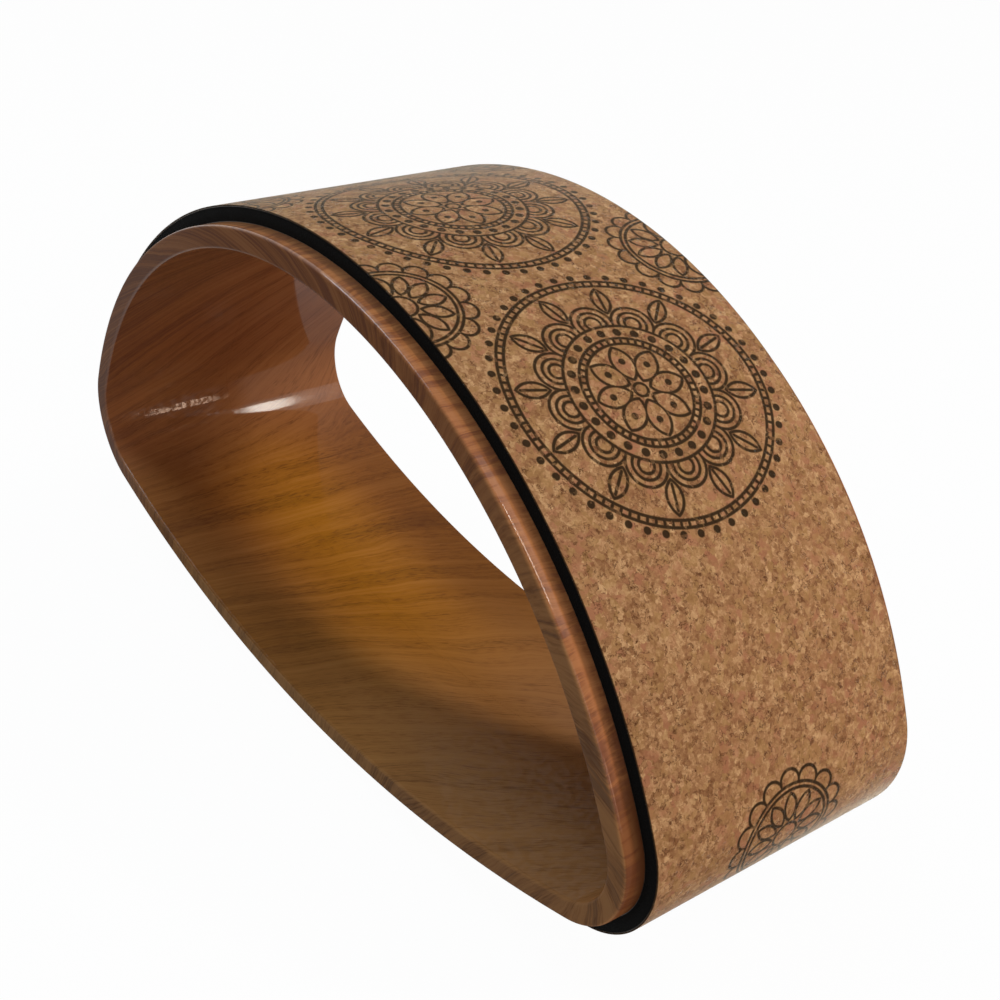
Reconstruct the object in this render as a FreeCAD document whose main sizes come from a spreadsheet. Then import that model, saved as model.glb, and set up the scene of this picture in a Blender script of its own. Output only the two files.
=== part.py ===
import FreeCAD, Part
import os
from math import pi, radians

import Sketcher

# Half-moon yoga wheel: two hollow moulded shell halves, joined at mid-width, with a foam pad and a
# printed cork cover glued round them. Every layer follows one outline of four tangent arcs: a strong
# arch, a gently curved base and two tight ends.
# Millimetres. The origin is under the middle of the base, +X runs along the length, +Y runs through
# the opening and +Z is up.

doc = FreeCAD.newDocument("half_moon_yoga_wheel")

# Driving sizes. Depths are measured inwards from the face of the cork.
SIZES = {
    # outline of the cork's face
    "wheel_length": 395.0,
    "wheel_height": 205.0,
    "wheel_width": 130.0,
    "end_radius": 39.0,
    "end_height": 66.5,
    # laminated pad
    "rim_margin": 7.75,
    "cork_thickness": 0.5,
    "cork_glue_thickness": 0.2,
    "foam_thickness": 5.0,
    "pad_glue_thickness": 0.2,
    "seam_gap": 0.4,
    # moulded shell halves
    "rim_wall": 8.4,
    "rim_round": 1.2,
    "draft_angle": 0.6,
    "skin_wall": 2.6,
    "end_wall": 4.0,
    # webs across the hollow of each half
    "web_thickness": 2.4,
    "arch_webs": 9,
    "base_webs": 7,
    "end_webs": 3,
    "web_spread_share": 0.86,
    # locating lip of the rear half
    "lip_height": 3.0,
    "lip_root": 6.0,
    "lip_thickness": 1.2,
    "joint_clearance": 0.15,
    # how far a cut runs past what it cuts
    "overrun": 1.0,
}

sheet = doc.addObject("Spreadsheet::Sheet", "Sizes")
for row, (alias, value) in enumerate(SIZES.items(), start=1):
    sheet.set(f"A{row}", alias)
    sheet.set(f"B{row}", str(value))
    sheet.setAlias(f"B{row}", alias)
doc.recompute()

# Arcs of the outline: the ends stand at end_height, the arch touches both ends and the full height,
# and the base touches both ends and the floor.
END_X = "(Sizes.wheel_length / 2 - Sizes.end_radius)"
END_Z = "Sizes.end_height"
END_RADIUS = "Sizes.end_radius"
ARCH_RISE = f"(Sizes.wheel_height - {END_Z})"
ARCH_RADIUS = f"(({END_X} ^ 2 + {ARCH_RISE} ^ 2 - {END_RADIUS} ^ 2) / (2 * ({ARCH_RISE} - {END_RADIUS})))"
ARCH_Z = f"(Sizes.wheel_height - {ARCH_RADIUS})"
BASE_RADIUS = f"(({END_X} ^ 2 + {END_Z} ^ 2 - {END_RADIUS} ^ 2) / (2 * ({END_Z} - {END_RADIUS})))"
BASE_Z = BASE_RADIUS
ARCH_LEAN = f"atan2({END_Z} - {ARCH_Z}; {END_X})"
BASE_LEAN = f"atan2({BASE_Z} - {END_Z}; {END_X})"

# Depths of the layers below the cork's face.
CORK_FACE = "0"
CORK_BACK = "Sizes.cork_thickness"
FOAM_FACE = f"({CORK_BACK} + Sizes.cork_glue_thickness)"
FOAM_BACK = f"({FOAM_FACE} + Sizes.foam_thickness)"
SHELL_FACE = f"({FOAM_BACK} + Sizes.pad_glue_thickness)"
CELL_OUTER = f"({SHELL_FACE} + Sizes.skin_wall)"
OPENING_AT_RIM = f"({SHELL_FACE} + Sizes.rim_wall)"
CELL_INNER = f"({OPENING_AT_RIM} - Sizes.skin_wall)"
LIP_OUTER = f"({CELL_OUTER} + Sizes.joint_clearance)"
LIP_INNER = f"({LIP_OUTER} + Sizes.lip_thickness)"

HALF_WIDTH = "(Sizes.wheel_width / 2)"
PAD_WIDTH = "(Sizes.wheel_width - 2 * Sizes.rim_margin)"
DRAFT = "(Sizes.draft_angle * 1 deg)"
OPENING_AT_JOINT = f"({OPENING_AT_RIM} + {HALF_WIDTH} * tan({DRAFT}))"
WEB_SETBACK = "(Sizes.lip_height + Sizes.joint_clearance)"


def number(expression):
    """The value of an expression on the sheet, as a plain number."""
    value = sheet.evalExpression(expression)
    return float(getattr(value, "Value", value))


def new_body(label):
    """A body whose label names its file."""
    body = doc.addObject("PartDesign::Body", label)
    body.Label = label
    return body


def new_sketch(body, name):
    """A sketch on the body's XZ plane: its x is the row's X, its y is the row's Z and it faces -Y."""
    plane = next(item for item in body.Origin.OriginFeatures if item.Role == "XZ_Plane")
    sketch = body.newObject("Sketcher::SketchObject", name)
    sketch.AttachmentSupport = (plane, [""])
    sketch.MapMode = "FlatFace"
    return sketch


def dimension(sketch, constraint, name, expression):
    """Add one dimension to a sketch and bind it to the sheet."""
    index = sketch.addConstraint(constraint)
    sketch.renameConstraint(index, name)
    sketch.setExpression(f"Constraints.{name}", expression)


def add_outline(sketch, tag, depth):
    """Draw the four tangent arcs of the outline, the given depth below the cork's face."""
    end_x, end_z = number(END_X), number(END_Z)
    arch_lean, base_lean = radians(number(ARCH_LEAN)), radians(number(BASE_LEAN))
    arcs = [
        (0, number(ARCH_Z), ARCH_RADIUS, arch_lean, pi - arch_lean),
        (-end_x, end_z, END_RADIUS, pi - arch_lean, pi + base_lean),
        (0, number(BASE_Z), BASE_RADIUS, pi + base_lean, 2 * pi - base_lean),
        (end_x, end_z, END_RADIUS, 2 * pi - base_lean, 2 * pi + arch_lean),
    ]
    first = sketch.GeometryCount
    for x, z, radius, start, end in arcs:
        size = number(f"{radius} - {depth}")
        circle = Part.Circle(FreeCAD.Vector(x, z, 0), FreeCAD.Vector(0, 0, 1), size)
        sketch.addGeometry(Part.ArcOfCircle(circle, start, end), False)
    arch, left, base, right = range(first, first + len(arcs))
    for one, following in ((arch, left), (left, base), (base, right), (right, arch)):
        sketch.addConstraint(Sketcher.Constraint("Tangent", one, 2, following, 1))
    for middle in (arch, base):
        sketch.addConstraint(Sketcher.Constraint("PointOnObject", middle, 3, -2))
    sketch.addConstraint(Sketcher.Constraint("Horizontal", left, 3, right, 3))
    for arc, name, radius in (
        (arch, "arch", ARCH_RADIUS),
        (base, "base", BASE_RADIUS),
        (right, "end", END_RADIUS),
    ):
        size = Sketcher.Constraint("Radius", arc, number(f"{radius} - {depth}"))
        dimension(sketch, size, f"{tag}_{name}_radius", f"{radius} - {depth}")
    across = Sketcher.Constraint("DistanceX", -1, 1, right, 3, end_x)
    dimension(sketch, across, f"{tag}_end_x", END_X)
    up = Sketcher.Constraint("DistanceY", -1, 1, right, 3, end_z)
    dimension(sketch, up, f"{tag}_end_z", END_Z)


def add_box(sketch, width, low, high):
    """Draw a rectangle that is centred on the sketch's y axis."""
    half, bottom, top = number(width) / 2, number(low), number(high)
    corners = [(-half, bottom), (half, bottom), (half, top), (-half, top)]
    points = [FreeCAD.Vector(x, y, 0) for x, y in corners]
    for one, following in zip(points, points[1:] + points[:1]):
        sketch.addGeometry(Part.LineSegment(one, following), False)
    for side, following in ((0, 1), (1, 2), (2, 3), (3, 0)):
        sketch.addConstraint(Sketcher.Constraint("Coincident", side, 2, following, 1))
    for upright in (1, 3):
        sketch.addConstraint(Sketcher.Constraint("Vertical", upright))
    sketch.addConstraint(Sketcher.Constraint("Horizontal", 2))
    sketch.addConstraint(Sketcher.Constraint("Symmetric", 0, 1, 0, 2, -2))
    dimension(sketch, Sketcher.Constraint("DistanceX", 0, 1, 0, 2, 2 * half), "width", width)
    dimension(sketch, Sketcher.Constraint("DistanceY", -1, 1, 0, 1, bottom), "low", low)
    dimension(sketch, Sketcher.Constraint("DistanceY", -1, 1, 2, 1, top), "high", high)


def outline_sketch(body, name, *depths):
    """A sketch with one outline at each of the depths."""
    sketch = new_sketch(body, name)
    for count, depth in enumerate(depths):
        add_outline(sketch, f"loop{count}", depth)
    return sketch


def settle(body, feature, adds):
    """Work the feature out, and make sure that it really added to the body or cut it."""
    before = 0 if body.Shape.isNull() else body.Shape.Volume
    body.Tip = feature
    doc.recompute()
    change = body.Shape.Volume - before
    if change == 0 or (change > 0) != adds:
        raise RuntimeError(f"{feature.Label} changed the volume by {change:.3f}")
    return feature


def pad(body, sketch, length, rearwards):
    """Extrude a sketch from the joint plane towards one rim."""
    feature = body.newObject("PartDesign::Pad", f"{sketch.Name}_pad")
    feature.Profile = sketch
    feature.Reversed = rearwards
    feature.setExpression("Length", length)
    return settle(body, feature, True)


def pocket(body, sketch, length, rearwards):
    """Cut a sketch out of the body, from the joint plane towards one rim."""
    feature = body.newObject("PartDesign::Pocket", f"{sketch.Name}_pocket")
    feature.Profile = sketch
    feature.Reversed = not rearwards
    feature.setExpression("Length", length)
    return settle(body, feature, False)


def cut_opening(body, rearwards):
    """Cut the opening that the mould's core leaves: the draft makes it wider at the rim."""
    sketch = outline_sketch(body, f"{body.Name}_opening", OPENING_AT_JOINT)
    feature = body.newObject("PartDesign::Pocket", f"{body.Name}_drafted_opening")
    feature.Profile = sketch
    feature.Reversed = not rearwards
    feature.setExpression("Length", HALF_WIDTH)
    feature.setExpression("TaperAngle", DRAFT)
    return settle(body, feature, False)


def add_webs(body, name, rearwards, centre, radius, turn, spread, count):
    """Stand webs across the hollow: one, and its copies turned about an arc's centre."""
    side = "-" if rearwards else ""
    bite = "Sizes.skin_wall / 2"
    sketch = new_sketch(body, f"{body.Name}_{name}_web")
    add_box(
        sketch,
        "Sizes.web_thickness",
        f"{radius} - {CELL_INNER} - {bite}",
        f"{radius} - {CELL_OUTER} + {bite}",
    )
    sketch.setExpression("AttachmentOffset.Base.x", centre[0])
    sketch.setExpression("AttachmentOffset.Base.y", centre[1])
    sketch.setExpression("AttachmentOffset.Base.z", f"{side}{WEB_SETBACK}")
    sketch.setExpression("AttachmentOffset.Rotation.Angle", turn)
    length = f"{HALF_WIDTH} - {WEB_SETBACK} - Sizes.end_wall / 2"
    first = pad(body, sketch, length, rearwards)
    pattern = body.newObject("PartDesign::PolarPattern", f"{body.Name}_{name}_webs")
    pattern.Originals = [first]
    pattern.Axis = (sketch, ["N_Axis"])
    pattern.setExpression("Angle", spread)
    pattern.setExpression("Occurrences", count)
    return settle(body, pattern, True)


def round_rim(body, rearwards):
    """Round both edges of the rim's end face."""
    level = number(HALF_WIDTH) if rearwards else -number(HALF_WIDTH)
    reach = number("Sizes.rim_round")
    base = body.Tip
    names = [
        f"Edge{index}"
        for index, edge in enumerate(base.Shape.Edges, start=1)
        if max(abs(vertex.Y - level) for vertex in edge.Vertexes) < reach
    ]
    feature = body.newObject("PartDesign::Fillet", f"{body.Name}_rim_round")
    feature.Base = (base, names)
    feature.setExpression("Radius", "Sizes.rim_round")
    return settle(body, feature, False)


def make_shell(label, rearwards):
    """One moulded half: an outer skin, an inner skin and a closed rim, with webs in the hollow."""
    body = new_body(label)
    pad(body, outline_sketch(body, f"{label}_face", SHELL_FACE), HALF_WIDTH, rearwards)
    cut_opening(body, rearwards)
    round_rim(body, rearwards)
    cells = outline_sketch(body, f"{label}_cells", CELL_OUTER, CELL_INNER)
    pocket(body, cells, f"{HALF_WIDTH} - Sizes.end_wall", rearwards)

    arch_spread = f"Sizes.web_spread_share * (180 deg - 2 * {ARCH_LEAN})"
    base_spread = f"Sizes.web_spread_share * (180 deg - 2 * {BASE_LEAN})"
    end_spread = f"Sizes.web_spread_share * ({ARCH_LEAN} + {BASE_LEAN})"
    end_middle = f"({ARCH_LEAN} - {BASE_LEAN}) / 2"
    arcs = [
        ("arch", ("0", ARCH_Z), ARCH_RADIUS, "0 deg", arch_spread, "Sizes.arch_webs"),
        ("base", ("0", BASE_Z), BASE_RADIUS, "180 deg", base_spread, "Sizes.base_webs"),
        ("right", (END_X, END_Z), END_RADIUS, f"{end_middle} - 90 deg", end_spread, "Sizes.end_webs"),
        ("left", (f"-{END_X}", END_Z), END_RADIUS, f"90 deg - {end_middle}", end_spread, "Sizes.end_webs"),
    ]
    for name, centre, radius, middle, spread, count in arcs:
        add_webs(body, name, rearwards, centre, radius, f"{middle} - ({spread}) / 2", spread, count)
    return body


def add_lip(body):
    """The rear half's lip: rooted on its outer skin, it enters the front half's hollow."""
    bite = "Sizes.skin_wall / 2"
    root = outline_sketch(body, f"{body.Name}_lip_root", f"({CELL_OUTER} - {bite})", LIP_INNER)
    pad(body, root, "Sizes.lip_root", True)
    lip = outline_sketch(body, f"{body.Name}_lip", LIP_OUTER, LIP_INNER)
    pad(body, lip, "Sizes.lip_height", False)


def make_strip(label, face, back):
    """One layer of the pad: a strip wrapped round the shells, with a butt seam under the base."""
    body = new_body(label)
    ring = body.newObject("PartDesign::Pad", f"{label}_wrap")
    ring.Profile = outline_sketch(body, f"{label}_section", face, back)
    ring.SideType = "Symmetric"
    ring.setExpression("Length", PAD_WIDTH)
    settle(body, ring, True)
    slot = new_sketch(body, f"{label}_seam")
    add_box(slot, "Sizes.seam_gap", f"{face} - Sizes.overrun", f"{back} + Sizes.overrun")
    seam = body.newObject("PartDesign::Pocket", f"{label}_seam_cut")
    seam.Profile = slot
    seam.SideType = "Symmetric"
    seam.setExpression("Length", f"{PAD_WIDTH} + 2 * Sizes.overrun")
    settle(body, seam, False)
    return body


front_shell = make_shell("front_shell", False)
rear_shell = make_shell("rear_shell", True)
add_lip(rear_shell)
pad_glue_film = make_strip("pad_glue_film", FOAM_BACK, SHELL_FACE)
foam_pad = make_strip("foam_pad", FOAM_FACE, FOAM_BACK)
cork_glue_film = make_strip("cork_glue_film", CORK_BACK, FOAM_FACE)
cork_cover = make_strip("cork_cover", CORK_FACE, CORK_BACK)
pieces = [front_shell, rear_shell, pad_glue_film, foam_pad, cork_glue_film, cork_cover]

doc.recompute()
for item in doc.Objects:
    if {"Invalid", "Error"} & set(item.State):
        raise RuntimeError(f"{item.Label} failed: {item.State}")
for piece in pieces:
    if piece.Shape.isNull() or not piece.Shape.isValid() or len(piece.Shape.Solids) != 1:
        raise RuntimeError(f"{piece.Label} isn't one valid solid")

os.makedirs("parts", exist_ok=True)
for piece in pieces:
    piece.Shape.exportStep(os.path.join("parts", f"{piece.Label}.step"))
    print(piece.Label, f"{piece.Shape.Volume:.1f} mm3")
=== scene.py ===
"""Half-moon yoga wheel: a glossy wood-look ring of two moulded halves, wrapped in foam and printed cork."""
import logging
import math
from dataclasses import dataclass
from enum import Enum
from typing import Callable

import bmesh
import bpy
from bmesh.types import BMesh, BMFace
from bpy.types import ID, ColorRamp, Material, NodeSocket, NodeTree, Object
from mathutils import Euler, Matrix, Vector


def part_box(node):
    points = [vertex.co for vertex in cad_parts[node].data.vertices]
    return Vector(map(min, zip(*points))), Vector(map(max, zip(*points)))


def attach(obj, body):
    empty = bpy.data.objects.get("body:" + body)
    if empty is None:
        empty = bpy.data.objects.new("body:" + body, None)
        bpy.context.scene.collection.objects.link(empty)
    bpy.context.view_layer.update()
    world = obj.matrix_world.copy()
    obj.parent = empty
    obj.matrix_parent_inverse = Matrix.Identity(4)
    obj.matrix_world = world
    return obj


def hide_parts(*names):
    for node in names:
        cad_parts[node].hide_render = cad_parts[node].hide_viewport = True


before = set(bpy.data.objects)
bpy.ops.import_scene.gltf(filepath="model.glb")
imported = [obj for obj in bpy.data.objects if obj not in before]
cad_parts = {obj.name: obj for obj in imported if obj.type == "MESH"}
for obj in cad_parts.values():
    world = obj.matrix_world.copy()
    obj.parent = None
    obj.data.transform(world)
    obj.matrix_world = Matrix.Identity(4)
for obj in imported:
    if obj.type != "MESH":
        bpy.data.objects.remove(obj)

Triple = tuple[float, float, float]
Section = list[tuple[float, float]]

LOG = logging.getLogger("yoga_wheel")
MAP_NAME = "strip"
TINY = 1e-6
WHITE = (1.0, 1.0, 1.0, 1.0)


class Side(Enum):
    """The two moulded halves of the ring, by the sign of Y."""

    FRONT = -1
    REAR = 1


class Slot(Enum):
    """The record's material slots."""

    WOOD = "wood_look_plastic"
    FOAM = "black_foam"
    CORK = "cork"
    GLUE = "glue_film"


class Value:
    """A number that changes over a surface, held as one output socket of a material's nodes."""

    def __init__(self, shader: "Shader", socket: NodeSocket) -> None:
        """Wraps an output socket of a material's nodes."""
        self.shader = shader
        self.socket = socket

    def math(self, operation: str, *others: "Value | float") -> "Value":
        """The result of one Math node on this number and up to two others."""
        return self.shader.add("Math", dict(enumerate((self, *others))), {"operation": operation})

    def output(self, name: str) -> "Value":
        """Another output of the same node."""
        return Value(self.shader, self.socket.node.outputs[name])

    def __add__(self, other: "Value | float") -> "Value":
        """This number plus another."""
        return self.math("ADD", other)

    __radd__ = __add__

    def __sub__(self, other: "Value | float") -> "Value":
        """This number less another."""
        return self.math("SUBTRACT", other)

    def __rsub__(self, other: float) -> "Value":
        """A plain number less this one."""
        return self.math("MULTIPLY_ADD", -1.0, other)

    def __mul__(self, other: "Value | float") -> "Value":
        """This number times another."""
        return self.math("MULTIPLY", other)

    __rmul__ = __mul__

    def __abs__(self) -> "Value":
        """The number without its sign."""
        return self.math("ABSOLUTE")

    def least(self, other: "Value | float") -> "Value":
        """The smaller of two numbers."""
        return self.math("MINIMUM", other)

    def most(self, other: "Value | float") -> "Value":
        """The larger of two numbers."""
        return self.math("MAXIMUM", other)

    def wrapped(self, half: float) -> "Value":
        """The number brought into the range from -half to half by whole periods."""
        return self.math("WRAP", half, -half)

    def swing(self, amount: "Value | float") -> "Value":
        """A number from 0 to 1, moved to lie evenly about 0 and scaled."""
        return (self - 0.5) * amount

    def between(self, low: float, high: float) -> "Value":
        """A number from 0 to 1, moved to run from low to high."""
        return self * (high - low) + low

    def hypotenuse(self, other: "Value") -> "Value":
        """The long side of a right triangle with these two sides."""
        return (self * self + other * other).math("SQRT")

    def rise(self, low: float, high: float) -> "Value":
        """A smooth step from 0 at low to 1 at high, where low may be above high."""
        inputs = {"Value": self, "From Min": low, "From Max": high}
        return self.shader.add("MapRange", inputs, {"interpolation_type": "SMOOTHSTEP"})


class Shader:
    """The nodes of one material or of the world."""

    def __init__(self, tree: NodeTree) -> None:
        """Starts from an empty tree."""
        self.tree = tree
        tree.nodes.clear()

    def add(self, kind: str, inputs: dict | None = None, settings: dict | None = None,
            output: int | str = 0) -> Value:
        """Adds any node.

        Args:
            kind: the node's type, without its common prefix.
            inputs: values or links by socket name or number.
            settings: its properties, set first; "stops" holds a colour ramp's stops.
            output: which output to give back.

        Returns:
            That output as a Value.
        """
        node = self.tree.nodes.new(f"ShaderNode{kind}")
        for name, setting in (settings or {}).items():
            if name == "stops":
                self._set_stops(node.color_ramp, setting)
            else:
                setattr(node, name, setting)
        for name, given in (inputs or {}).items():
            socket = node.inputs[name]
            if isinstance(given, Value):
                self.tree.links.new(given.socket, socket)
            else:
                socket.default_value = given
        return Value(self, node.outputs[output] if len(node.outputs) else None)

    @staticmethod
    def _set_stops(ramp: ColorRamp, stops: list[tuple]) -> None:
        """Gives a colour ramp its stops, each a place and a colour."""
        while len(ramp.elements) < len(stops):
            ramp.elements.new(1.0)
        for element, (place, colour) in zip(ramp.elements, stops):
            element.position = place
            element.color = (*colour, 1.0)

    def noise(self, vector: Value, scale: float, detail: float = 2.0, rough: float = 0.5) -> Value:
        """A noise from about 0 to 1, with about scale features in a metre."""
        inputs = {"Vector": vector, "Scale": scale, "Detail": detail, "Roughness": rough}
        return self.add("TexNoise", inputs)

    def cells(self, vector: Value, scale: float) -> Value:
        """Voronoi cells: the distance from each cell's middle, with its other outputs."""
        return self.add("TexVoronoi", {"Vector": vector, "Scale": scale})

    def ramp(self, value: Value, stops: list[tuple]) -> Value:
        """A colour from a number, through a ramp's stops."""
        return self.add("ValToRGB", {0: value}, {"stops": stops})

    def mix(self, factor: Value, first: "Value | tuple", second: "Value | tuple") -> Value:
        """Mixes two colours.

        Args:
            factor: 0 for the first and 1 for the second.
            first: a colour.
            second: a colour.

        Returns:
            The mixed colour.
        """
        colours = [c if isinstance(c, Value) else (*c, 1.0) for c in (first, second)]
        inputs = {0: factor, 6: colours[0], 7: colours[1]}
        return self.add("Mix", inputs, {"data_type": "RGBA"}, output=2)

    def vector(self, x: "Value | float", y: "Value | float", z: "Value | float") -> Value:
        """A vector from three numbers."""
        return self.add("CombineXYZ", {0: x, 1: y, 2: z})

    def parts(self, vector: Value) -> Value:
        """A vector's or a colour's three numbers: the first, with the others as Y and Z."""
        return self.add("SeparateXYZ", {0: vector})

    def object_point(self) -> Value:
        """The point's place in the wheel's frame, in metres."""
        return self.add("TexCoord", output="Object")

    def strip_point(self) -> tuple[Value, Value]:
        """The point's share of the way round from under the base, and its distance across in metres."""
        parts = self.parts(self.add("UVMap", None, {"uv_map": MAP_NAME}))
        return parts, parts.output("Y")

    def bump(self, height: Value, depth: float, strength: float) -> Value:
        """A bump that feeds the shader's normal."""
        return self.add("Bump", {"Height": height, "Distance": depth, "Strength": strength})

    def finish(self, shader: Value) -> None:
        """Sends a shader to the output."""
        kind = "OutputWorld" if self.tree.id_data.name == "Studio" else "OutputMaterial"
        self.add(kind, {"Surface": shader})


def new_material(name: str) -> tuple[Material, Shader]:
    """Makes a material with no nodes yet.

    Args:
        name: the material's name.

    Returns:
        The material and its nodes.
    """
    material = bpy.data.materials.new(name)
    material.use_nodes = True
    return material, Shader(material.node_tree)


def linked(name: str, data: ID) -> Object:
    """Makes an object at the origin and links it to the scene.

    Args:
        name: the object's name.
        data: its mesh, light or camera.

    Returns:
        The object.
    """
    made = bpy.data.objects.new(name, data)
    bpy.context.scene.collection.objects.link(made)
    return made


def mesh_object(bm: BMesh, name: str, material: Material) -> Object:
    """Turns a bmesh into an object, and frees it.

    Args:
        bm: the finished bmesh.
        name: the object's name.
        material: its finish.

    Returns:
        The object.
    """
    mesh = bpy.data.meshes.new(name)
    bm.to_mesh(mesh)
    bm.free()
    mesh.materials.append(material)
    return linked(name, mesh)


@dataclass(frozen=True)
class Arc:
    """One arc of the outline, seen along the opening from the front."""

    x: float
    z: float
    radius: float
    start: float
    turn: float
    steps: int


@dataclass(frozen=True)
class Outline:
    """The cork's outer line: an arch, two tight ends and a gently curved base, all tangent."""

    length: float
    height: float
    end_radius: float = 0.039
    end_height: float = 0.0665
    arch_steps: int = 192
    end_steps: int = 64
    base_half_steps: int = 56

    @property
    def end_x(self) -> float:
        """How far the centre of each end lies from the middle."""
        return self.length / 2 - self.end_radius

    @property
    def arch_radius(self) -> float:
        """The radius that makes the arch touch both ends and the full height."""
        rise = self.height - self.end_height
        return (self.end_x**2 + rise**2 - self.end_radius**2) / (2 * (rise - self.end_radius))

    @property
    def base_radius(self) -> float:
        """The radius that makes the base touch both ends and the floor."""
        drop = self.end_height
        return (self.end_x**2 + drop**2 - self.end_radius**2) / (2 * (drop - self.end_radius))

    @property
    def arcs(self) -> list[Arc]:
        """The five arcs, from under the base towards +X and round."""
        arch_z = self.height - self.arch_radius
        arch_lean = math.atan2(self.end_height - arch_z, self.end_x)
        base_lean = math.atan2(self.base_radius - self.end_height, self.end_x)
        half = math.pi / 2 - base_lean
        end_turn = base_lean + arch_lean
        base = (0.0, self.base_radius, self.base_radius)
        right = (self.end_x, self.end_height, self.end_radius)
        left = (-self.end_x, self.end_height, self.end_radius)
        return [
            Arc(*base, -math.pi / 2, half, self.base_half_steps),
            Arc(*right, -base_lean, end_turn, self.end_steps),
            Arc(0.0, arch_z, self.arch_radius, arch_lean, math.pi - 2 * arch_lean, self.arch_steps),
            Arc(*left, math.pi - arch_lean, end_turn, self.end_steps),
            Arc(*base, math.pi + base_lean, half, self.base_half_steps),
        ]

    @property
    def girth(self) -> float:
        """The length of the whole outline."""
        return sum(arc.radius * arc.turn for arc in self.arcs)

    def station(self, x: float, z: float) -> tuple[float, float]:
        """Finds a point's place on the outline.

        Args:
            x: the point's X.
            z: the point's Z.

        Returns:
            The distance along the outline from under the base, and the depth below it.
        """
        along = 0.0
        for arc in self.arcs:
            angle = (math.atan2(z - arc.z, x - arc.x) - arc.start) % math.tau
            depth = arc.radius - math.hypot(x - arc.x, z - arc.z)
            if angle <= arc.turn + TINY and abs(depth) < self.end_radius:
                return along + arc.radius * angle, depth
            along += arc.radius * arc.turn
        return along, 0.0

    def sweep(self, section: Section, rounds: dict[int, float], seam: float = 0.0,
              segments: int = 8) -> BMesh:
        """Spins a section round the outline, arc after arc.

        Args:
            section: the section's corners, each a Y and a depth below the outline.
            rounds: the radius of each rounded corner, by its number in the section.
            seam: the gap left under the base, or 0 for a closed ring.
            segments: how many steps each rounded corner has.

        Returns:
            The swept solid.
        """
        bm = bmesh.new()
        corners = [bm.verts.new((0.0, y, depth)) for y, depth in section]
        bm.faces.new(corners)
        for number, radius in rounds.items():
            bmesh.ops.bevel(bm, geom=[corners[number]], offset=radius, offset_type="OFFSET",
                            segments=segments, profile=0.5, affect="VERTICES", material=-1)
        first, *_, last = arcs = self.arcs
        back = seam / 2 / self.base_radius
        turn = Matrix.Rotation(-back, 3, "Y")
        bmesh.ops.rotate(bm, verts=bm.verts[:], cent=(first.x, 0.0, first.z), matrix=turn)
        faces = bm.faces[:]
        for number, arc in enumerate(arcs):
            angle = arc.turn - (back if number in (0, len(arcs) - 1) else 0.0)
            spun = bmesh.ops.spin(bm, geom=faces, cent=(arc.x, 0.0, arc.z), axis=(0.0, -1.0, 0.0),
                                  angle=angle, steps=arc.steps, use_merge=False)
            faces = [part for part in spun["geom_last"] if isinstance(part, BMFace)]
        if not seam:
            caps = [face for face in bm.faces
                    if all(abs(v.co.x) < TINY and v.co.z < self.end_radius for v in face.verts)]
            bmesh.ops.delete(bm, geom=caps, context="FACES_ONLY")
        bmesh.ops.remove_doubles(bm, verts=bm.verts[:], dist=TINY)
        bmesh.ops.recalc_face_normals(bm, faces=bm.faces[:])
        return bm


@dataclass(frozen=True)
class Ply:
    """A swept piece: what turns a bmesh into a finished object."""

    outline: Outline
    sharp_angle: float = math.radians(32)

    def map_strip(self, bm: BMesh, across: Callable[[float, float], float]) -> None:
        """Unrolls the surface into the strip map.

        Args:
            bm: the swept solid.
            across: gives the distance across from a point's Y and depth.
        """
        layer = bm.loops.layers.uv.new(MAP_NAME)
        girth = self.outline.girth
        places = {}
        for vert in bm.verts:
            along, depth = self.outline.station(vert.co.x, vert.co.z)
            places[vert.index] = (along / girth, across(vert.co.y, depth))
        for face in bm.faces:
            shares = [places[vert.index][0] for vert in face.verts]
            wraps = max(shares) - min(shares) > 0.5
            for loop in face.loops:
                share, distance = places[loop.vert.index]
                loop[layer].uv = (share + (1.0 if wraps and share < 0.5 else 0.0), distance)

    def make(self, bm: BMesh, name: str, material: Material) -> Object:
        """Makes the object, smooth but for its true edges.

        Args:
            bm: the finished bmesh, which is freed.
            name: the piece's name.
            material: its finish.

        Returns:
            The new object.
        """
        for face in bm.faces:
            face.smooth = True
        for edge in bm.edges:
            edge.smooth = not edge.is_manifold or edge.calc_face_angle() < self.sharp_angle
        return mesh_object(bm, name, material)


@dataclass(frozen=True)
class Zone:
    """A stretch of the outline, weighed by the cosine of the turn away from its middle."""

    middle: float
    low: float
    high: float

    def weight(self, share: Value) -> Value:
        """A smooth step from 0 where the cosine is low to 1 where it is high."""
        return ((share - self.middle) * math.tau).math("COSINE").rise(self.low, self.high)


@dataclass(frozen=True)
class Spot:
    """Where a point of the wood print lies, and how far it belongs to each part of the ring."""

    shader: Shader
    place: Value
    share: Value
    across: Value
    reach: Value
    rim: Value
    margin: Value
    # face: the rim's face on the lower outline, paled with painted light
    face: Value
    right_side: Value
    base_side: Value


@dataclass(frozen=True)
class Grain:
    """The noises that the wood print is drawn with."""

    bands: Value
    lines: Value
    pores: Value
    clouds: Value


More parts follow.
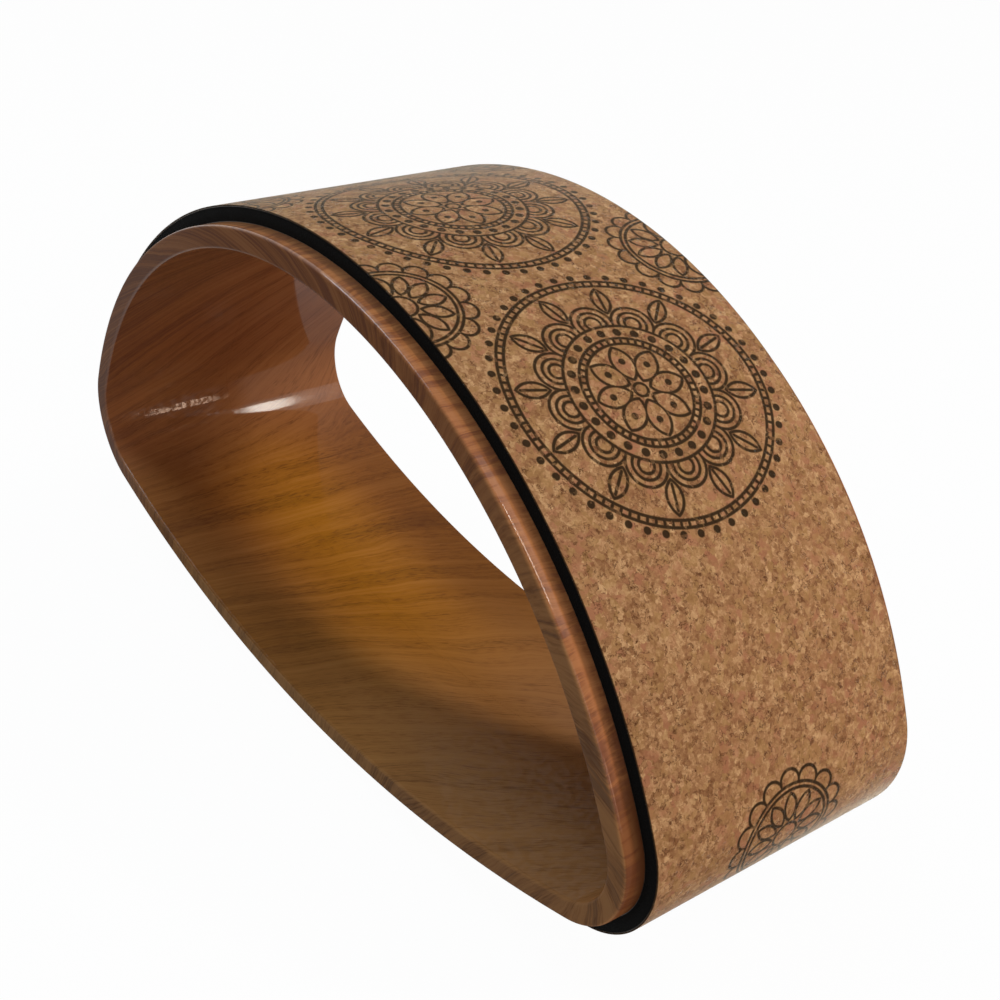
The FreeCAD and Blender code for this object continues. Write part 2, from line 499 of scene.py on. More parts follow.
@dataclass(frozen=True)
class WoodPrint:
    """Glossy plastic with a wood-grain transfer print that runs on over every edge."""

    girth: float
    half_width: float
    wall: float
    pale: tuple = (0.46, 0.190, 0.055)
    middle: tuple = (0.300, 0.106, 0.023)
    dark: tuple = (0.110, 0.036, 0.013)
    # painted light where the pool of light falls on the base, partly the print's own warm tone
    lit_gold: tuple = (0.530, 0.222, 0.012)
    russet: tuple = (0.232, 0.082, 0.041)
    umber: tuple = (0.225, 0.108, 0.041)
    # painted light colour for the interior near the ends
    lit_straw: tuple = (0.400, 0.185, 0.066)
    # painted highlight colour on the margin
    margin_highlight: tuple = (0.440, 0.165, 0.060)
    # painted light: a pale grey tone on the lower face and on the crown's margin
    grey_light: tuple = (0.245, 0.128, 0.064)
    # painted light: a pale tone on the face along the base
    pale_face_light: tuple = (0.500, 0.270, 0.130)
    tones: tuple = (0.28, 0.48, 0.74)

    # The grain's leans round the ring, its strays, and noises as scale, detail and roughness.
    lean: float = 1.2
    leans: tuple = ((0.0, 0.5), (0.08, 0.85), (0.25, 0.6), (0.45, -0.3), (0.62, -1.0), (0.745, -0.9),
                    (0.845, 0.0), (0.90, 0.1), (1.0, 0.5))
    crest_lean: float = 3.0
    wide_stray: float = 0.022
    fine_stray: float = 0.003
    line_stretch: float = 0.035
    pore_stretch: float = 0.15
    band_noise: tuple = (110.0, 3.0, 0.6)
    line_noise: tuple = (650.0, 4.0, 0.75)
    pore_noise: tuple = (1300.0, 2.0, 0.6)
    cloud_noise: tuple = (13.0, 3.0)
    ripple_noise: tuple = (330.0, 2.0)
    patch_noise: tuple = (420.0, 2.0)

    # How far each noise moves the tone, inside and on the rim, and how far painted light lifts it on the
    # left end and the face.
    band_depths: tuple = (0.75, 0.8)
    line_depths: tuple = (0.8, 0.8)
    cloud_depth: float = 0.25
    left_end_light_slope: float = 2.6
    left_end_light_lift: float = 0.02
    face_light_lift: float = 0.10

    # Stretches of the outline with a look of their own; several carry painted light or painted shade.
    right_end: Zone = Zone(0.07, 0.3, 0.95)
    left_end: Zone = Zone(0.71, 0.75, 1.0)
    base: Zone = Zone(0.945, 0.6, 0.95)
    # painted shade on the base towards its edges
    shaded_base: Zone = Zone(0.93, 0.7, 0.95)
    # painted light on the rim's face along the lower outline
    lit_face: Zone = Zone(0.13, -0.3, 0.5)
    steep_crest: Zone = Zone(0.65, 0.1, 0.8)
    # painted shade on the margin's low end
    low_margin: Zone = Zone(0.21, 0.90, 0.96)
    # painted highlight on the margin
    lit_margin: Zone = Zone(0.325, 0.915, 0.985)
    # painted light greys the margin near the crown
    lit_crown: Zone = Zone(0.53, 0.8, 0.97)
    # painted light on the interior near both ends
    light_pools: tuple = ((Zone(0.11, 0.6, 1.0), 0.55), (Zone(0.785, 0.93, 1.0), 0.2))
    glossy_end: Zone = Zone(0.76, 0.0, 0.9)
    inner_edge: Zone = Zone(0.07, 0.7, 0.1)
    outer_edge: Zone = Zone(0.45, 0.3, 0.6)
    glint: Zone = Zone(0.52, 0.75, 0.95)

    # How much of each colour is mixed in, painted light and painted shade among them.
    cool_mix: float = 0.6
    lit_gold_mix: float = 0.5
    pale_face_light_mix: float = 0.45
    margin_highlight_mix: float = 0.5
    crown_light_mix: float = 0.2
    fleck_mix: float = 0.5
    # strengths of the painted shade on the base, the face, the margin's low end and beside the pad
    base_shade: float = 0.4
    face_shade: float = 0.12
    low_shade: float = 0.6
    crevice_shade: float = 0.4

    # The coat's weight, the share of it left on each part, and what the edges add.
    coat: float = 0.30
    patch_depth: float = 0.28
    joint_coat: float = 0.2
    far_coat: float = 0.4
    base_coat: float = 0.25
    rim_coat: float = 0.5
    inner_edge_coat: float = 0.22
    outer_edge_coat: float = 0.18
    glint_coat: float = 0.55
    edge_blur: float = 0.001

    @property
    def crest(self) -> float:
        """The distance over the section to the outer edge of the rim's face."""
        return self.half_width + self.wall

    def spot(self, shader: Shader) -> Spot:
        """Reads where a point lies.

        Args:
            shader: the material's nodes.

        Returns:
            Its place and its masks.
        """
        share, across = shader.strip_point()
        reach = abs(across)
        rim = reach.rise(self.half_width, self.half_width + self.edge_blur)
        margin = reach.rise(self.crest, self.crest + self.edge_blur)
        # the rim's face on the lower outline, where painted light pales it
        face = (rim - margin) * self.lit_face.weight(share)
        return Spot(shader, shader.object_point(), share, across, reach, rim, margin, face,
                    self.right_end.weight(share), self.base.weight(share))

    def grain_point(self, spot: Spot, wander: Value, stretch: float) -> Value:
        """Rolls the unrolled surface into a tube, so that the grain meets itself under the base.

        Args:
            spot: where the point lies.
            wander: how far the grain strays sideways, in metres.
            stretch: how slowly the print changes along the grain.

        Returns:
            A vector that changes fast across the grain and slowly along it.
        """
        shader, share, across = spot.shader, spot.share, spot.across
        stops = [(place, ((slope + 1.0) / 2,) * 3) for place, slope in self.leans]
        fan = shader.ramp(share.math("FRACT"), stops).swing(2 * self.lean)
        inner = across.most(-self.half_width).least(self.half_width)
        over = across.most(-self.crest).least(self.crest) - inner
        steep = self.steep_crest.weight(share).between(1.0, self.crest_lean)
        turn = share * math.tau + (wander - (inner + over * steep) * fan) * (math.tau / self.girth)
        radius = self.girth / math.tau
        return shader.vector(turn.math("COSINE") * radius, turn.math("SINE") * radius, across * stretch)

    def grain(self, spot: Spot) -> Grain:
        """Draws the noises along the grain.

        Args:
            spot: where the point lies.

        Returns:
            The noises.
        """
        shader, place = spot.shader, spot.place
        wander = shader.noise(place, 8.0, 1.0).swing(self.wide_stray)
        wander = wander + shader.noise(place, 60.0, 2.0).swing(self.fine_stray)
        wander = wander + spot.right_side * shader.noise(place, 20.0, 1.0).swing(self.wide_stray)
        along = self.grain_point(spot, wander, self.line_stretch)
        short = self.grain_point(spot, wander, self.pore_stretch)
        return Grain(shader.noise(along, *self.band_noise), shader.noise(along, *self.line_noise),
                     shader.noise(short, *self.pore_noise), shader.noise(place, *self.cloud_noise))

    def printed(self, spot: Spot, grain: Grain) -> Value:
        """The print's colour before the painted shade: warm with a painted pool of light on the base,
        painted light on the face and the left end, cool round the ends.

        Args:
            spot: where the point lies.
            grain: the print's noises.

        Returns:
            The colour.
        """
        shader, face = spot.shader, spot.face
        inner_bands, rim_bands = self.band_depths
        inner_lines, margin_lines = self.line_depths
        tone = grain.bands.swing(spot.rim * rim_bands + inner_bands)
        tone = tone + grain.lines.swing(spot.rim + spot.margin * margin_lines + inner_lines)
        tone = tone + grain.clouds.swing(self.cloud_depth) + 0.5
        # painted light and shade: the left end brighter towards its rear and darker towards its front
        tone = tone + self.left_end.weight(spot.share) * (spot.across * self.left_end_light_slope + self.left_end_light_lift)
        # painted light lifts the tone on the lower face
        tone = tone + face * self.face_light_lift
        # The base's warm tone carries a painted pool of light in its middle, partly the print's own tone.
        middle = abs(spot.across - 0.004).rise(0.045, 0.002)
        warm_and_lit = spot.base_side * middle.between(0.35, 1.0) + grain.clouds.swing(0.4)
        warm_and_lit = warm_and_lit.most(0.0).least(1.0)
        colour = shader.ramp(tone, list(zip(self.tones, (self.dark, self.middle, self.pale))))
        cool = shader.mix(spot.right_side * (1.0 - spot.margin), self.russet, self.umber)
        # painted light: the lower face takes a paler grey tone
        colour = shader.mix((1.0 - warm_and_lit) * self.cool_mix, colour, shader.mix(face, cool, self.grey_light))
        colour = shader.mix(warm_and_lit * self.lit_gold_mix, colour, self.lit_gold)
        # painted light: the face along the base is paled further
        return shader.mix(spot.base_side * face * self.pale_face_light_mix, colour, self.pale_face_light)

    def shaded(self, spot: Spot, colour: Value) -> Value:
        """Paints shade on the base, the face, the margin's low end and beside the pad, and paints light on
        the margin, the crown's margin and the interior near the ends.

        Args:
            spot: where the point lies.
            colour: the print's colour.

        Returns:
            The shaded colour.
        """
        shader, share, reach, crest = spot.shader, spot.share, spot.reach, self.crest
        # painted shade on the base towards its edges
        shade = self.shaded_base.weight(share) * reach.rise(0.022, 0.055) * (1.0 - spot.rim) * self.base_shade
        # painted shade on the face away from the lower outline
        shade = shade + (spot.rim - spot.margin - spot.face) * self.face_shade
        # painted shade on the margin's low end
        shade = shade + self.low_margin.weight(share) * spot.margin * self.low_shade
        # painted shadow of the pad on the margin beside it
        shade = shade + reach.rise(crest + 0.0050, crest + 0.0074) * self.crevice_shade
        # the dark grain tone also serves as the colour of the painted shade
        colour = shader.mix(shade.least(1.0), colour, self.dark)
        # painted highlight: a paler strip across the margin where the light catches it
        strip = reach.rise(crest + 0.0015, crest + 0.0042) * reach.rise(crest + 0.0068, crest + 0.0048)
        colour = shader.mix(self.lit_margin.weight(share) * strip * self.margin_highlight_mix, colour, self.margin_highlight)
        # painted light: the crown's margin greyed and paled
        colour = shader.mix(self.lit_crown.weight(share) * spot.margin * self.crown_light_mix, colour, self.grey_light)
        # painted light: the interior paled near both ends
        for zone, weight in self.light_pools:
            light_pool = zone.weight(share) * (1.0 - spot.rim) * weight
            colour = shader.mix(light_pool * reach.rise(0.062, 0.042).between(0.6, 1.2), colour, self.lit_straw)
        return colour

    def gloss(self, spot: Spot) -> Value:
        """The clear coat's weight: patchy inside the front half, thin on the base, high on the rim's edges.

        Args:
            spot: where the point lies.

        Returns:
            The weight.
        """
        share, reach = spot.share, spot.reach
        front = spot.across.rise(0.003, -0.003) * reach.rise(self.half_width, self.half_width - 0.004)
        patches = spot.shader.noise(spot.place, *self.patch_noise).rise(0.42, 0.58) - 0.9
        weight = patches * front * self.patch_depth + self.coat
        weight = weight * reach.rise(0.002, 0.014).between(self.joint_coat, 1.0)
        weight = weight * self.glossy_end.weight(share).between(self.far_coat, 1.0)
        weight = weight * spot.base_side.between(1.0, self.base_coat) * spot.rim.between(1.0, self.rim_coat)
        inner_edge = abs(reach - self.half_width).rise(0.0014, 0.0004) * self.inner_edge.weight(share)
        outer_edge = reach.rise(self.crest - 0.0005, self.crest + 0.0010) * self.outer_edge.weight(share)
        glint = abs(reach - (self.crest + 0.0008)).rise(0.0014, 0.0006) * self.glint.weight(share)
        weight = weight + inner_edge * self.inner_edge_coat + outer_edge * self.outer_edge_coat
        return weight + glint * self.glint_coat

    def material(self) -> Material:
        """Builds the finish.

        Returns:
            The material.
        """
        material, shader = new_material("wood_print")
        spot = self.spot(shader)
        grain = self.grain(spot)
        colour = self.shaded(spot, self.printed(spot, grain))
        flecks = grain.pores.rise(0.46, 0.68) * grain.bands.rise(0.66, 0.36)
        colour = shader.mix(flecks * self.fleck_mix, colour, self.dark)
        ripple = shader.bump(shader.noise(spot.place, *self.ripple_noise), 0.00004, 0.3)
        inputs = {"Base Color": colour, "Roughness": grain.lines.between(0.4, 0.5), "Normal": ripple,
                  "Specular IOR Level": 0.0, "Coat Weight": self.gloss(spot), "Coat Roughness": 0.07}
        shader.finish(shader.add("BsdfPrincipled", inputs))
        return material


@dataclass(frozen=True)
class Foam:
    """Matt black closed-cell foam with fine cut cells."""

    colour: tuple = (0.0022, 0.0022, 0.0021)
    cut_cell: tuple = (0.008, 0.0075, 0.007)
    cell_scale: float = 1900.0
    cloud_noise: tuple = (90.0, 3.0)

    def material(self) -> Material:
        """Builds the finish.

        Returns:
            The material.
        """
        material, shader = new_material("closed_cell_foam")
        place = shader.object_point()
        cells = shader.cells(place, self.cell_scale)
        clouds = shader.noise(place, *self.cloud_noise)
        colour = shader.mix(cells.rise(0.25, 0.75) * clouds, self.colour, self.cut_cell)
        inputs = {"Base Color": colour, "Roughness": clouds.between(0.8, 0.95), "Specular IOR Level": 0.06,
                  "Normal": shader.bump(cells, 0.0003, 0.6)}
        shader.finish(shader.add("BsdfPrincipled", inputs))
        return material


@dataclass(frozen=True)
class Glue:
    """A thin adhesive film, dark where it is squeezed between the plies."""

    colour: tuple = (0.035, 0.026, 0.017)
    thin: tuple = (0.06, 0.045, 0.03)
    spread_noise: tuple = (260.0, 3.0)

    def material(self) -> Material:
        """Builds the finish.

        Returns:
            The material.
        """
        material, shader = new_material("adhesive_film")
        spread = shader.noise(shader.object_point(), *self.spread_noise)
        inputs = {"Base Color": shader.mix(spread, self.colour, self.thin),
                  "Roughness": spread.between(0.35, 0.55)}
        shader.finish(shader.add("BsdfPrincipled", inputs))
        return material


@dataclass(frozen=True)
class Polar:
    """A point's place round the middle of a motif."""

    angle: Value
    radius: Value

    @classmethod
    def about(cls, x: Value, y: Value) -> "Polar":
        """The place of a point that lies x and y from the middle."""
        return cls(y.math("ARCTAN2", x), x.hypotenuse(y))

    def folded(self, count: int, shift: float = 0.0) -> tuple[Value, Value]:
        """Folds a round motif into one of its equal sectors.

        Args:
            count: how many sectors it has.
            shift: the share of a sector that it is turned by.

        Returns:
            The distance out along the sector, and the distance to the side of it.
        """
        sector = math.tau / count
        turned = (self.angle + shift * sector).wrapped(sector / 2)
        return turned.math("COSINE") * self.radius, abs(turned.math("SINE") * self.radius)


@dataclass(frozen=True)
class LinePrint:
    """A dark line print on the cork: a row of rosettes, half rosettes on the edges and one at each end."""

    girth: float
    half_width: float
    pitch: float = 0.108
    half_line: float = 0.00058
    blur: float = 0.00025
    row_reach: float = 0.160
    edge_reach: float = 0.108
    end_place: float = 0.262

    # The rosette from its heart out: leaves are root, tip and half width, dots place and radius.
    heart: float = 0.0025
    inner_count: int = 8
    inner_leaf: tuple = (0.004, 0.0175, 0.0040)
    inner_dot: tuple = (0.0115, 0.0007)
    inner_band: float = 0.0198
    band_half: float = 0.0012
    bead: tuple = (0.0236, 0.0010)
    arch_ring: float = 0.0264
    arch_count: int = 12
    arch_place: float = 0.0283
    arch_foot: float = 0.0270
    arch_radii: tuple = (0.0074, 0.0050, 0.0028)
    outer_leaf: tuple = (0.0322, 0.0440, 0.0030)
    vein_inset: float = 0.0012
    outer_band: float = 0.0468
    outer_dot: tuple = (0.0503, 0.0008)

    # The small rosette.
    small_heart: float = 0.0050
    small_count: int = 12
    small_leaf: tuple = (0.0062, 0.0165, 0.0026)
    small_ring: float = 0.0186
    small_ring_half: float = 0.0009
    scallop_count: int = 16
    scallop: tuple = (0.0206, 0.0041)
    scallop_foot: float = 0.0195

    @staticmethod
    def leaf(out: Value, side: Value, root: float, tip: float, swell: float) -> Value:
        """The distance outside a pointed leaf.

        Args:
            out: the distance out along the sector.
            side: the distance to the side of it.
            root: where the leaf starts.
            tip: where it ends.
            swell: half its width.

        Returns:
            The distance from its edge, below 0 inside.
        """
        half = (tip - root) / 2
        bow = (half**2 - swell**2) / (2 * swell)
        return (out - (root + half)).hypotenuse(side + bow) - (bow + swell)

    @staticmethod
    def disc(out: Value, side: Value, place: float, radius: float) -> Value:
        """The distance outside a small disc on the sector's middle line."""
        return (out - place).hypotenuse(side) - radius

    def band(self, at: Polar, place: float, count: int) -> Value:
        """The distance to the nearest line of a double ring with ribs across it.

        Args:
            at: the point's place.
            place: the radius of the ring's middle line.
            count: how many ribs it has.

        Returns:
            The distance.
        """
        outside = abs(at.radius - place) - self.band_half
        _, side = at.folded(count)
        return abs(outside).least(side.most(outside))

    def rosette(self, at: Polar) -> Value:
        """The distance to the nearest line of a whole rosette.

        Args:
            at: the point's place.

        Returns:
            The distance.
        """
        arches = self.arch_count
        out, side = at.folded(self.inner_count)
        ink = abs(self.leaf(out, side, *self.inner_leaf))
        ink = ink.least(abs(at.radius - self.heart))
        ink = ink.least(self.disc(out, side, *self.inner_dot))
        ink = ink.least(self.band(at, self.inner_band, 4 * arches))
        ink = ink.least(self.disc(*at.folded(2 * arches), *self.bead))
        ink = ink.least(abs(at.radius - self.arch_ring))
        out, side = at.folded(arches)
        for size in self.arch_radii:
            arch = abs(self.disc(out, side, self.arch_place, size))
            ink = ink.least(arch.most(self.arch_foot - at.radius))
        out, side = at.folded(arches, 0.5)
        leaf = self.leaf(out, side, *self.outer_leaf)
        ink = ink.least(abs(leaf)).least(side.most(leaf + self.vein_inset))
        ink = ink.least(self.band(at, self.outer_band, 8 * arches))
        return ink.least(self.disc(*at.folded(4 * arches), *self.outer_dot))

    def small_rosette(self, at: Polar) -> Value:
        """The distance to the nearest line of a small rosette.

        Args:
            at: the point's place.

        Returns:
            The distance.
        """
        ink = abs(at.radius - self.small_heart)
        ink = ink.least(abs(self.leaf(*at.folded(self.small_count), *self.small_leaf)))
        ink = ink.least(abs(abs(at.radius - self.small_ring) - self.small_ring_half))
        arch = abs(self.disc(*at.folded(self.scallop_count), *self.scallop))
        return ink.least(arch.most(self.scallop_foot - at.radius))

    def ink(self, share: Value, across: Value) -> Value:
        """Draws the whole print.

        Args:
            share: the share of the way round from under the base.
            across: the distance across from the middle.

        Returns:
            1 on a line and 0 on bare cork.
        """
        along = (share - 0.5) * self.girth
        away = abs(along)
        half = self.pitch / 2
        row = self.rosette(Polar.about(along.wrapped(half), across)).most(away - self.row_reach)
        edge_place = Polar.about((along - half).wrapped(half), self.half_width - abs(across))
        edge = self.small_rosette(edge_place).most(away - self.edge_reach)
        end = self.small_rosette(Polar.about(away - self.end_place, across))
        return row.least(edge).least(end).rise(self.half_line + self.blur, self.half_line - self.blur)


@dataclass(frozen=True)
class Cork:
    """Fine-grained pressed cork, with a print in dark ink."""

    pattern: LinePrint
    tan: tuple = (0.288, 0.144, 0.0635)
    pale: tuple = (0.500, 0.297, 0.144)
    brown: tuple = (0.165, 0.068, 0.027)
    olive: tuple = (0.290, 0.158, 0.056)
    russet: tuple = (0.290, 0.118, 0.060)
    bark: tuple = (0.090, 0.033, 0.013)
    ink: tuple = (0.020, 0.0100, 0.003)
    tones: tuple = (0.12, 0.50, 0.92)
    rim: float = 0.0004

    # Features in a metre, and how far each of them moves the tone.
    stray_scale: float = 700.0
    stray: float = 0.0024
    granule_scale: float = 390.0
    granule_depth: float = 0.34
    crumb_scale: float = 700.0
    crumb_depth: float = 0.36
    fine_noise: tuple = (1000.0, 3.0, 0.7)
    fine_depth: float = 1.0
    patch_noise: tuple = (100.0, 3.0, 0.6)
    patch_depth: float = 0.3
    stroke_noise: tuple = (420.0, 3.0)
    stroke_gaps: tuple = (260.0, 1.0)

    # How much of each colour is mixed in.
    russet_mix: float = 0.85
    olive_mix: float = 0.45
    speck_mix: float = 0.6
    stroke_mix: float = 0.8
    ink_mix: float = 0.97
    worn_ink: float = 0.35
    edge_mix: float = 0.9

    def material(self) -> Material:
        """Builds the finish.

        Returns:
            The material.
        """
        material, shader = new_material("printed_cork")
        place = shader.object_point()
        stray = shader.noise(place, self.stray_scale).output("Color")
        inputs = {0: stray, 1: (self.stray,) * 3, 2: place}
        shift = shader.add("VectorMath", inputs, {"operation": "MULTIPLY_ADD"})
        kind = shader.parts(shader.cells(shift, self.granule_scale).output("Color"))
        crumb = shader.parts(shader.cells(shift, self.crumb_scale).output("Color"))
        patches = shader.noise(place, *self.patch_noise)
        fine = shader.noise(shift, *self.fine_noise)

        tone = kind.swing(self.granule_depth) + crumb.swing(self.crumb_depth) + fine.swing(self.fine_depth)
        tone = tone + patches.swing(self.patch_depth) + 0.5
        colour = shader.ramp(tone, list(zip(self.tones, (self.brown, self.tan, self.pale))))
        reddish = kind.output("Y").rise(0.35, 0.95) * patches.rise(0.42, 0.60)
        colour = shader.mix(reddish * self.russet_mix, colour, self.russet)
        colour = shader.mix(kind.output("Z").rise(0.55, 0.95) * self.olive_mix, colour, self.olive)
        specks = crumb.output("Y").rise(0.88, 0.96) * fine.rise(0.58, 0.44)
        strokes = abs(shader.noise(shift, *self.stroke_noise) - 0.5).rise(0.044, 0.004)
        strokes = strokes * shader.noise(place, *self.stroke_gaps).rise(0.50, 0.58)
        barky = (specks * self.speck_mix + strokes * self.stroke_mix).least(1.0)
        colour = shader.mix(barky, colour, self.bark)

        share, across = shader.strip_point()
        mark = self.pattern.ink(share, across) * (1.0 - crumb.output("Z").rise(0.86, 1.0) * self.worn_ink)
        colour = shader.mix(mark * self.ink_mix, colour, self.ink)
        edge = abs(across).rise(self.pattern.half_width - self.rim, self.pattern.half_width)
        colour = shader.mix(edge * self.edge_mix, colour, self.ink)
        height = fine * 0.6 + crumb * 0.4 - specks * 0.6
        inputs = {"Base Color": colour, "Roughness": fine.between(0.66, 0.86), "Specular IOR Level": 0.05,
                  "Sheen Weight": 0.75, "Sheen Roughness": 0.25, "Sheen Tint": (1.0, 0.95, 0.84, 1.0),
                  "Normal": shader.bump(height, 0.00022, 0.5)}
        shader.finish(shader.add("BsdfPrincipled", inputs))
        return material


@dataclass(frozen=True)
class Shell:
    """The ring's core: two hollow moulded halves that meet in the middle plane."""

    outline: Outline
    half_width: float
    face_depth: float = 0.0059
    wall: float = 0.0084
    rim_round: float = 0.0012
    draft: float = math.radians(0.6)
    skin: float = 0.0026
    end_wall: float = 0.0040
    joint_round: float = 0.00006
    shoulder: float = 0.0004

    def section(self, side: Side) -> tuple[Section, dict[int, float]]:
        """One half's section: an outer skin, a rim wall and a leaning inner skin, open at the joint.

        Args:
            side: which half.

        Returns:
            The corners, each a Y and a depth, and the rounded ones with their radii.
        """
        width = self.half_width
        top = self.face_depth
        rim = top + self.wall
        joint = rim + width * math.tan(self.draft)
        past = self.rim_round + self.shoulder
        lean = past * math.tan(self.draft)
        inside = width - self.end_wall
        points = [
            (0.0, top),
            (self.shoulder, top),
            (width - past, top),
            (width, top),
            (width, top + past),
            (width, rim - past),
            (width, rim),
            (width - past, rim + lean),
            (self.shoulder, joint - self.shoulder * math.tan(self.draft)),
            (0.0, joint),
            (0.0, joint - self.skin),
            (inside, rim - self.skin),
            (inside, top + self.skin),
            (0.0, top + self.skin),
        ]
        rounds = {3: self.rim_round, 6: self.rim_round, 9: self.joint_round}
        return [(y * side.value, depth) for y, depth in points], rounds

    def across(self, y: float, depth: float) -> float:
        """The distance over the section from the middle plane, through the rim and back."""
        rim = self.face_depth + self.wall
        reach = abs(y) if depth > self.face_depth + self.wall / 2 else 2 * self.half_width - abs(y)
        return math.copysign(reach + rim - depth, y)

    def build(self, material: Material) -> list[Object]:
        """Builds and dresses both halves.

        Args:
            material: the wood-look finish.

        Returns:
            The two pieces.
        """
        pieces = []
        ply = Ply(self.outline)
        for side, node in ((Side.FRONT, "front_shell"), (Side.REAR, "rear_shell")):
            bm = self.outline.sweep(*self.section(side))
            ply.map_strip(bm, self.across)
            piece = ply.make(bm, f"{node}_moulding", material)
            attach(piece, "root")
            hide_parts(node)
            pieces.append(piece)
        return pieces


@dataclass(frozen=True)
class Pad:
    """The laminated pad round the shells: glue, foam, glue and cork, butted under the base."""

    outline: Outline
    half_width: float
    cork: float = 0.0005
    glue: float = 0.0002
    foam: float = 0.0050
    seam: float = 0.0004
    glue_setback: float = 0.0003
    foam_bulge: float = 0.00025
    cork_round: float = 0.00015
    foam_round: float = 0.0009

    def strip(self, name: str, section: Section, rounds: dict[int, float], material: Material) -> Object:
        """Builds one strip of the pad.

        Args:
            name: the piece's name.
            section: its section's corners.
            rounds: its rounded corners.
            material: its finish.

        Returns:
            The piece.
        """
        ply = Ply(self.outline)
        bm = self.outline.sweep(section, rounds, self.seam, segments=3)
        ply.map_strip(bm, lambda y, depth: y)
        piece = ply.make(bm, name, material)
        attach(piece, "root")
        return piece

    def box_section(self, half: float, top: float, thickness: float) -> Section:
        """A strip's four corners, from half its width, the depth of its outer face and its thickness."""
        return [(-half, top), (half, top), (half, top + thickness), (-half, top + thickness)]

    def build(self, cork: Material, foam: Material, glue: Material) -> list[Object]:
        """Builds and dresses the four strips.

        Args:
            cork: the printed cork's finish.
            foam: the foam's finish.
            glue: the adhesive's finish.

        Returns:
            The four pieces.
        """
        half = self.half_width
        length = self.outline.girth - self.seam
        cover = self.strip("cork_sheet", self.box_section(half, 0.0, self.cork),
                           {0: self.cork_round, 1: self.cork_round}, cork)
        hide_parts("cork_cover")
        2 * half

        foam_top = self.cork + self.glue
        middle = foam_top + self.foam / 2
        corners = self.box_section(half - self.foam_bulge, foam_top, self.foam)
        crowned = [corners[0], corners[1], (half, middle), corners[2], corners[3], (-half, middle)]
        pad = self.strip("foam_strip", crowned, {2: self.foam_round, 5: self.foam_round}, foam)
        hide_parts("foam_pad")

        pieces = [cover, pad]
        films = (("cork_glue_film", "cork_glue", self.cork),
                 ("pad_glue_film", "pad_glue", foam_top + self.foam))
        for node, name, top in films:
            section = self.box_section(half - self.glue_setback, top, self.glue)
            film = self.strip(name, section, {}, glue)
            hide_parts(node)
            pieces.append(film)
        return pieces


@dataclass(frozen=True)
class Panel:
    """A soft studio light that faces a point, with its height along the opening."""

    name: str
    direction: Triple
    distance: float
    width: float
    height: float
    radiance: float
    tint: Triple = (1.0, 1.0, 1.0)
    target: Triple = (0.0, 0.0, 0.1)

    def build(self) -> None:
        """Adds the light, with the power that gives its radiance."""
        light = bpy.data.lights.new(self.name, "AREA")
        light.shape = "RECTANGLE"
        light.size = self.width
        light.size_y = self.height
        light.energy = self.radiance * math.pi * self.width * self.height
        light.color = self.tint
        lamp = linked(self.name, light)
        back = Vector(self.direction).normalized()
        long = Vector((0.0, 1.0, 0.0)).cross(back).normalized()
        lamp.location = Vector(self.target) + back * self.distance
        lamp.rotation_euler = Matrix((long, back.cross(long), back)).transposed().to_euler()
        lamp.visible_camera = False


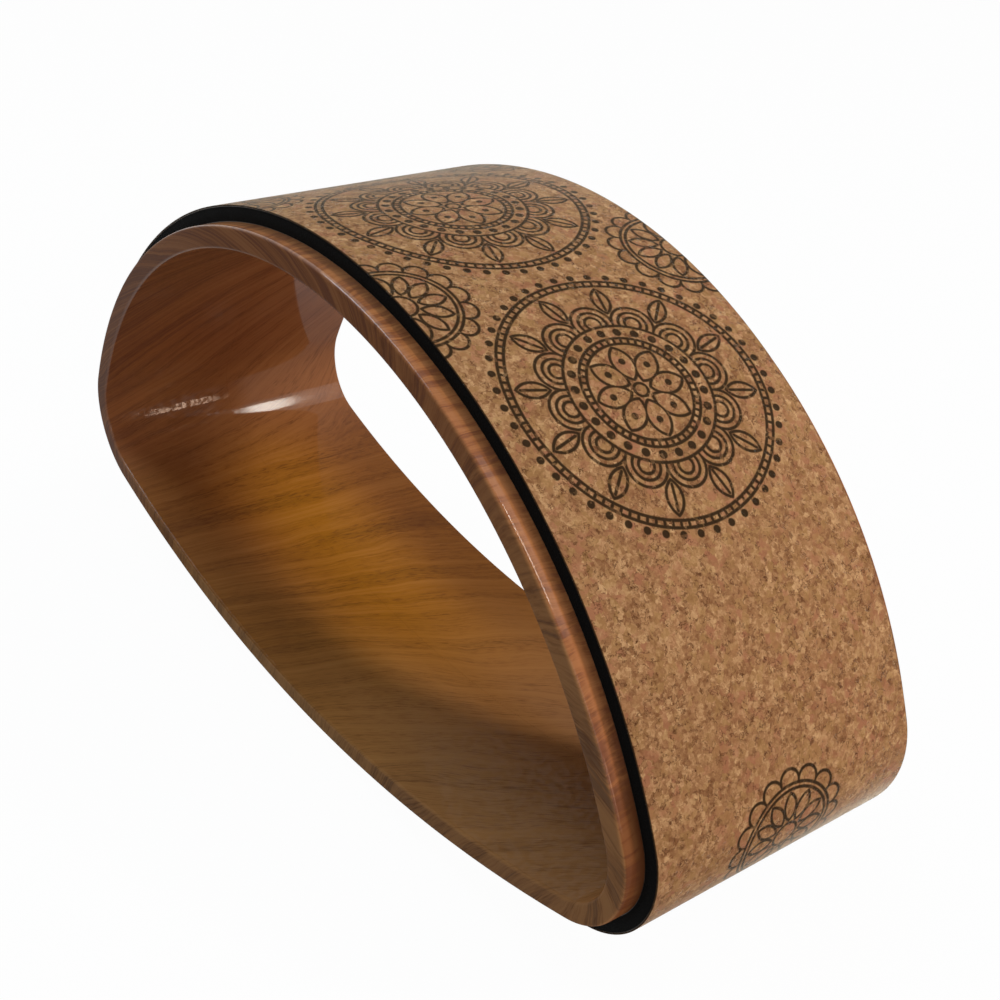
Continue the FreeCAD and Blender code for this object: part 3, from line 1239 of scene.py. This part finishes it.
@dataclass(frozen=True)
class Studio:
    """The plain pale floor, the soft light and the photo's camera."""

    camera_place: Triple = (0.366841, -0.274133, 0.348508)
    camera_turn: Triple = (51.8039, -2.8213, 54.9498)
    lens: float = 46.18
    sensor: float = 36.0
    nearest: float = 0.01
    shift: tuple[float, float] = (0.0661, 0.1916)
    floor_half: float = 12.0
    floor_grey: float = 0.55
    floor_glow: float = 0.975
    sky: float = 0.155
    panels: tuple[Panel, ...] = (
        Panel("key_panel", (0.50, 0.45, 0.80), distance=3.0, width=1.04, height=0.215, radiance=47.0,
              tint=(1.0, 0.95, 0.85), target=(-0.174, 0.035, 0.047)),
        Panel("soft_panel", (0.40, 0.46, 0.79), distance=2.6, width=1.7, height=1.1, radiance=2.7),
        Panel("left_panel", (-0.40, -0.18, 0.89), distance=1.8, width=1.2, height=0.6, radiance=8.0,
              tint=(0.68, 0.86, 1.0)),
        Panel("fill_panel", (0.93, -0.08, 0.36), distance=1.9, width=1.1, height=0.45, radiance=5.6),
        Panel("side_panel", (0.918, 0.36, 0.14), distance=1.6, width=0.34, height=0.115, radiance=24.0,
              tint=(1.0, 0.70, 0.50), target=(-0.181, -0.023, 0.0586)),
    )

    def build(self) -> None:
        """Adds everything round the object."""
        self.camera()
        self.floor()
        self.world()
        for panel in self.panels:
            panel.build()
        bpy.context.scene.view_settings.view_transform = "Standard"

    def camera(self) -> None:
        """Adds the camera at the photo's place."""
        data = bpy.data.cameras.new("photo_camera")
        data.lens = self.lens
        data.sensor_width = self.sensor
        data.shift_x, data.shift_y = self.shift
        data.clip_start = self.nearest
        camera = linked("photo_camera", data)
        camera.location = self.camera_place
        camera.rotation_euler = Euler([math.radians(angle) for angle in self.camera_turn])
        bpy.context.scene.camera = camera

    @staticmethod
    def seen(shader: Shader) -> Value:
        """1 for what the camera sees, straight, mirrored or through glass, and 0 for other light."""
        path = shader.add("LightPath")
        straight, mirrored = path.output("Is Camera Ray"), path.output("Is Glossy Ray")
        return (straight + mirrored + path.output("Is Transmission Ray")).least(1.0)

    def floor(self) -> None:
        """Adds a floor that looks white and keeps a soft shadow."""
        material, shader = new_material("pale_floor")
        matt = shader.add("BsdfDiffuse", {"Color": (*(self.floor_grey,) * 3, 1.0)})
        glow = shader.add("Emission", {"Color": WHITE, "Strength": 1.0})
        share = self.seen(shader) * self.floor_glow
        shader.finish(shader.add("MixShader", {0: share, 1: matt, 2: glow}))
        bm = bmesh.new()
        bmesh.ops.create_grid(bm, x_segments=1, y_segments=1, size=self.floor_half)
        floor = mesh_object(bm, "floor", material)

    def world(self) -> None:
        """Adds an even sky that looks white and lights the object softly."""
        world = bpy.data.worlds.new("Studio")
        world.use_nodes = True
        bpy.context.scene.world = world
        shader = Shader(world.node_tree)
        dim = shader.add("Background", {"Color": WHITE, "Strength": self.sky})
        glow = shader.add("Background", {"Color": WHITE, "Strength": 1.0})
        shader.finish(shader.add("MixShader", {0: self.seen(shader), 1: dim, 2: glow}))


def main() -> None:
    """Builds the wheel round its frame, then the studio."""
    logging.basicConfig(level=logging.INFO, format="%(name)s: %(message)s")
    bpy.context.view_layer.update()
    low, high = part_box("cork_cover")
    outline = Outline(length=high[0] - low[0], height=high[2] - low[2])
    rim_low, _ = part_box("front_shell")
    pad_half = (high[1] - low[1]) / 2
    shell = Shell(outline, half_width=abs(rim_low[1]))
    wood = WoodPrint(outline.girth, shell.half_width, shell.wall).material()
    cork = Cork(LinePrint(outline.girth, pad_half)).material()
    pieces = shell.build(wood)
    pieces += Pad(outline, pad_half).build(cork, Foam().material(), Glue().material())
    for piece in pieces:
        LOG.info("%s: %d faces", piece.name, len(piece.data.polygons))
    Studio().build()


if __name__ == "__main__":
    main()
